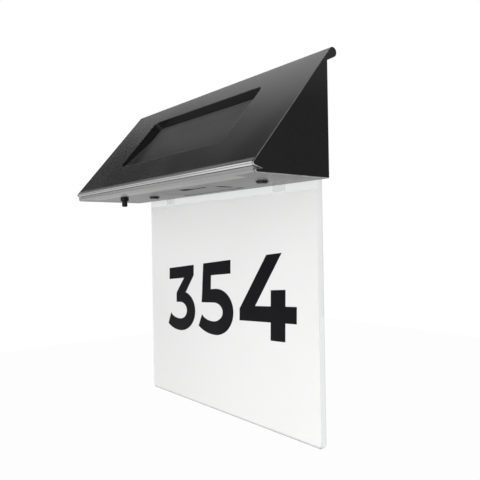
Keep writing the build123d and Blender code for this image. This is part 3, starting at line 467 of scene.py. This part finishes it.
def clear_clip():
    """Clear plastic seen mostly by its edges."""
    shader = Shader("clear_clip", (0.78, 0.79, 0.79), 0.08)
    facing = shader.add("ShaderNodeLayerWeight", Blend=0.5).outputs["Facing"]
    shader.links.new(shader.ranged(facing, *CLIP_ALPHA, 0.2, 1.0), shader.surface.inputs["Alpha"])
    return shader.mottle(60, 0.01).uneven(60, 0.02).bump(40, 0.00001)


def frosted_film():
    """White film, with painted shade to the lower left and along its foot."""
    shader = Shader("frosted_film", (0.90, 0.90, 0.895), 0.42)
    shader.mottle(9, 0.008, detail=1.0).uneven(12, 0.04).bump(1100, 0.00001)
    # painted shade towards the lower left
    over_coat(shader, shader.times(shader.below(X, *FILM_LEFT), shader.below(Z, *FILM_LOW)), FILM_LOW_LEFT_SHADE)
    # painted shade along the film's foot
    return over_coat(shader, shader.below(Z, *FILM_EDGE), FILM_FOOT_SHADE)


def vinyl():
    """Black cut film of the digits."""
    shader = Shader("vinyl", (0.004, 0.004, 0.006), 0.50, Specular_IOR_Level=0.12)
    return shader.mottle(60, 0.15).uneven(40, 0.05).bump(160, 0.00001)


def make_materials():
    """One material for each of the record's slots, and one for the digits."""
    return {
        "dark_sheet": powder_coat("dark_sheet"),
        "roof_cover": cover_coat(),
        "end_plate": end_coat(),
        "plate_metal": base_coat(),
        "zinc": plated("zinc", (0.55, 0.56, 0.58), 0.36),
        "stainless": brushed("stainless", (0.50, 0.50, 0.50), 0.28),
        "black_screw": black_oxide(),
        "black_rubber": rubber(),
        "black_plastic": moulded("black_plastic", (0.011, 0.011, 0.012), 0.5, Specular_IOR_Level=0.15),
        "grey_plastic": door_plastic(),
        "white_plastic": moulded("white_plastic", (0.85, 0.85, 0.83), 0.40),
        "opal": opal(),
        "solar_cell": solar_laminate(),
        "board_green": moulded("board_green", (0.02, 0.13, 0.06), 0.35),
        "board_black": moulded("board_black", (0.03, 0.03, 0.03), 0.40),
        "led_lens": moulded("led_lens", (0.90, 0.80, 0.35), 0.25),
        "cell_wrap": moulded("cell_wrap", (0.06, 0.20, 0.42), 0.30),
        "contact_nickel": plated("contact_nickel", (0.60, 0.57, 0.52), 0.25),
        "lead_pvc": moulded("lead_pvc", (0.02, 0.02, 0.02), 0.50),
        "clear_acrylic": clear_acrylic(),
        "clear_clip": clear_clip(),
        "frost_film": frosted_film(),
        "nylon": moulded("nylon", (0.80, 0.80, 0.77), 0.45),
        "vinyl": vinyl(),
    }


OWN_MATERIAL = {
    "roof_cover": "roof_cover", "end_plate_left": "end_plate", "end_plate_right": "end_plate",
    "panel_clips": "clear_clip",
}


def dress(materials):
    """Gives every CAD node the material of its slot."""
    slots = {entry["node"]: entry["material_slot"] for entry in frame["record"]["subparts"]}
    for name, node in frame["nodes"].items():
        node.data.materials.clear()
        key = OWN_MATERIAL.get(name, slots[name])
        node.data.materials.append(materials[key].material)


# ------------------------------------------------------------------ number
def arc(centre, across, up, start, end):
    """Points along an ellipse, from a start to an end angle in degrees."""
    steps = max(2, round(abs(end - start) / ARC_STEP))
    turns = [math.radians(start + (end - start) * i / steps) for i in range(steps + 1)]
    return [(centre[0] + across * math.cos(t), centre[1] + up * math.sin(t)) for t in turns]


def three():
    """Flat bar, a diagonal and a round bowl."""
    outer = (19.4, 18.4)
    inner = (19.4, 18.8)
    bar = [(0.0, 62.0), (41.5, 62.0), (41.5, 52.3)]
    bowl = arc(outer, 24.8, 19.5, 68.5, -90.0) + arc(outer, 29.0, 19.5, -90.0, -136.4)
    hollow = arc(inner, 17.1, 8.2, -161.3, -90.0) + arc(inner, 11.1, 8.2, -90.0, 90.0)
    return bar + bowl + hollow + [(12.7, 27.0), (12.7, 36.5), (25.6, 50.6), (0.0, 50.6)]


def five():
    """Flat bar, a leaning stem and a round bowl."""
    outer = (75.0, 18.7)
    inner = (72.0, 18.6)
    bar = [(56.5, 62.0), (96.0, 62.0), (96.0, 50.7), (68.4, 50.7), (68.0, 38.5)]
    bowl = arc(outer, 25.1, 20.0, 90.0, -90.0) + arc(outer, 33.8, 20.0, -90.0, -138.7)
    hollow = arc(inner, 17.8, 8.2, -162.8, -90.0) + arc(inner, 13.4, 8.2, -90.0, 90.0)
    return bar + bowl + hollow + [(54.3, 26.9)]


def four():
    """A diagonal down to a crossbar, and a short stem through it."""
    diagonal = [(140.8, 62.0), (158.1, 62.0), (127.8, 24.6)]
    stem_top = [(146.2, 24.6), (146.2, 36.2), (162.4, 36.2), (162.4, 24.6)]
    bar_end = [(174.3, 24.6), (174.3, 13.0)]
    foot = [(162.4, 13.0), (162.4, 0.0), (146.2, 0.0), (146.2, 13.0)]
    return diagonal + stem_top + bar_end + foot + [(108.3, 13.0), (108.3, 22.4)]


def on_field(point):
    """X and Z on the panel, in metres, of a point of the number's field."""
    u = point[0] / FIELD_WIDTH
    v = point[1] / FIELD_HEIGHT
    low = Vector(FIELD_CORNERS["low_left"]).lerp(Vector(FIELD_CORNERS["low_right"]), u)
    high = Vector(FIELD_CORNERS["high_left"]).lerp(Vector(FIELD_CORNERS["high_right"]), u)
    return low.lerp(high, v) * MM


def digit(name, outline, material):
    """A thin flat piece of vinyl on the film."""
    film_low, film_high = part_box("panel_film")
    curve = bpy.data.curves.new(name, "CURVE")
    curve.dimensions = "2D"
    curve.fill_mode = "BOTH"
    curve.extrude = VINYL / 2 * MM
    spline = curve.splines.new("POLY")
    points = [on_field(point) for point in outline]
    spline.points.add(len(points) - 1)
    for target, point in zip(spline.points, points):
        target.co = (point.x, point.y, 0.0, 1.0)
    spline.use_cyclic_u = True
    drawn = bpy.data.objects.new(name + "_outline", curve)
    mesh = bpy.data.meshes.new_from_object(drawn)
    bpy.data.objects.remove(drawn)
    piece = bpy.data.objects.new(name, mesh)
    bpy.context.scene.collection.objects.link(piece)
    # the outline's plane turned upright, its back on the film's face
    face_y = film_low.y - VINYL / 2 * MM
    mesh.transform(Matrix.Translation((0, face_y, 0)) @ Matrix.Rotation(math.radians(90), 4, "X"))
    mesh.materials.clear()
    mesh.materials.append(material)
    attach(piece, "sign")


# ------------------------------------------------------------------ studio
def light_path_sum(nodes, links, names):
    """One where the ray is any of the named kinds."""
    path = nodes.new("ShaderNodeLightPath")
    total = path.outputs[names[0]]
    for name in names[1:]:
        node = nodes.new("ShaderNodeMath")
        node.operation = "MAXIMUM"
        links.new(total, node.inputs[0])
        links.new(path.outputs[name], node.inputs[1])
        total = node.outputs[0]
    return total


def make_world():
    """White to the camera and through glass; a soft gradient in reflections; even light elsewhere."""
    world = bpy.data.worlds.new("studio")
    bpy.context.scene.world = world
    world.use_nodes = True
    nodes = world.node_tree.nodes
    links = world.node_tree.links
    nodes.clear()
    ray = nodes.new("ShaderNodeTexCoord").outputs["Generated"]

    def along(way, low, high):
        """Smooth rise from none to full as the ray turns towards a direction."""
        dot = nodes.new("ShaderNodeVectorMath")
        dot.operation = "DOT_PRODUCT"
        dot.inputs[1].default_value = way
        links.new(ray, dot.inputs[0])
        rise = nodes.new("ShaderNodeMapRange")
        rise.interpolation_type = "SMOOTHSTEP"
        rise.inputs["From Min"].default_value = low
        rise.inputs["From Max"].default_value = high
        links.new(dot.outputs["Value"], rise.inputs["Value"])
        return rise.outputs[0]

    def combine(operation, first, second):
        """A sum or another operation on two numbers or sockets."""
        node = nodes.new("ShaderNodeMath")
        node.operation = operation
        for socket, value in zip(node.inputs, (first, second)):
            if isinstance(value, float):
                socket.default_value = value
            else:
                links.new(value, socket)
        return node.outputs[0]

    sweep = combine("MINIMUM", combine("MULTIPLY", along(SWEEP_BACK, *SWEEP_EDGE), SWEEP), SWEEP_TOP)
    sweep = combine("MULTIPLY", sweep, along(SWEEP_LEFT, *SWEEP_SIDE))
    fade = combine("MULTIPLY", along(SWEEP_BACK, *SWEEP_FADING), SWEEP_FADE)
    sweep = combine("MULTIPLY", sweep, combine("SUBTRACT", 1.0, fade))
    bounce = combine("MULTIPLY", along(BOUNCE_WAY, *BOUNCE_EDGE), BOUNCE)
    strip = combine("MULTIPLY", along(STRIP_WAY, *STRIP_EDGE), STRIP)
    level = combine("MAXIMUM", combine("MAXIMUM", sweep, bounce), combine("MAXIMUM", strip, ROOM))
    white = light_path_sum(nodes, links, ["Is Camera Ray", "Is Transmission Ray"])
    glossy = light_path_sum(nodes, links, ["Is Glossy Ray"])

    def background(strength):
        """White light of a strength, a number or a socket."""
        node = nodes.new("ShaderNodeBackground")
        node.inputs["Color"].default_value = (1.0, 1.0, 1.0, 1.0)
        if isinstance(strength, float):
            node.inputs["Strength"].default_value = strength
        else:
            links.new(strength, node.inputs["Strength"])
        return node.outputs[0]

    def mix(factor, first, second):
        """First and second light by a factor."""
        node = nodes.new("ShaderNodeMixShader")
        for socket, source in zip(node.inputs, (factor, first, second)):
            links.new(source, socket)
        return node.outputs[0]

    lit = mix(glossy, background(AMBIENT), background(level))
    output = nodes.new("ShaderNodeOutputWorld")
    links.new(mix(white, lit, background(WHITE)), output.inputs[0])


def make_floor():
    """Pale floor well below the sign, white to the camera but for a little of the shadow."""
    bpy.ops.mesh.primitive_plane_add(size=FLOOR_SIZE, location=(0, 0, FLOOR_Z))
    floor = bpy.context.object
    floor.name = "floor"
    material = bpy.data.materials.new("floor")
    material.use_nodes = True
    nodes = material.node_tree.nodes
    links = material.node_tree.links
    surface = nodes["Principled BSDF"]
    surface.inputs["Base Color"].default_value = (*FLOOR_COLOR, 1.0)
    surface.inputs["Roughness"].default_value = 0.9
    glow = nodes.new("ShaderNodeEmission")
    glow.inputs["Strength"].default_value = WHITE
    seen = light_path_sum(nodes, links, ["Is Camera Ray", "Is Glossy Ray", "Is Transmission Ray"])
    share = nodes.new("ShaderNodeMath")
    share.operation = "MULTIPLY"
    share.inputs[1].default_value = FLOOR_WHITE
    links.new(seen, share.inputs[0])
    mixed = nodes.new("ShaderNodeMixShader")
    links.new(share.outputs[0], mixed.inputs[0])
    links.new(surface.outputs[0], mixed.inputs[1])
    links.new(glow.outputs[0], mixed.inputs[2])
    links.new(mixed.outputs[0], nodes["Material Output"].inputs[0])
    floor.data.materials.append(material)


def make_light():
    """One large soft light, low in front."""
    data = bpy.data.lights.new("key", "AREA")
    data.shape = "SQUARE"
    data.size = KEY_SIZE
    data.energy = KEY_POWER
    lamp = bpy.data.objects.new("key", data)
    bpy.context.scene.collection.objects.link(lamp)
    lamp.location = KEY_PLACE
    lamp.rotation_euler = (Vector(KEY_TARGET) - Vector(KEY_PLACE)).to_track_quat("-Z", "Y").to_euler()


def make_camera():
    """The photograph's view."""
    azimuth = math.radians(CAMERA_AZIMUTH)
    pitch = math.radians(CAMERA_PITCH)
    roll = math.radians(CAMERA_ROLL)
    level = math.cos(pitch)
    ahead = Vector((-math.sin(azimuth) * level, math.cos(azimuth) * level, math.sin(pitch)))
    right = ahead.cross(Vector((0, 0, 1))).normalized()
    up = right.cross(ahead)
    rolled_right = right * math.cos(roll) + up * math.sin(roll)
    rolled_up = up * math.cos(roll) - right * math.sin(roll)
    data = bpy.data.cameras.new("camera")
    data.sensor_width = CAMERA_SENSOR
    data.lens = CAMERA_LENS
    data.clip_start = CAMERA_NEAR
    camera = bpy.data.objects.new("camera", data)
    bpy.context.scene.collection.objects.link(camera)
    turn = Matrix((rolled_right, rolled_up, -ahead)).transposed().to_4x4()
    camera.matrix_world = Matrix.Translation(CAMERA_PLACE) @ turn
    bpy.context.scene.camera = camera


# ------------------------------------------------------------------ scene
bpy.context.scene.view_settings.view_transform = "Standard"
make_camera()
materials = make_materials()
dress(materials)
for digit_name, digit_outline in (("digit_3", three()), ("digit_5", five()), ("digit_4", four())):
    digit(digit_name, digit_outline, materials["vinyl"].material)
make_world()
make_floor()
make_light()
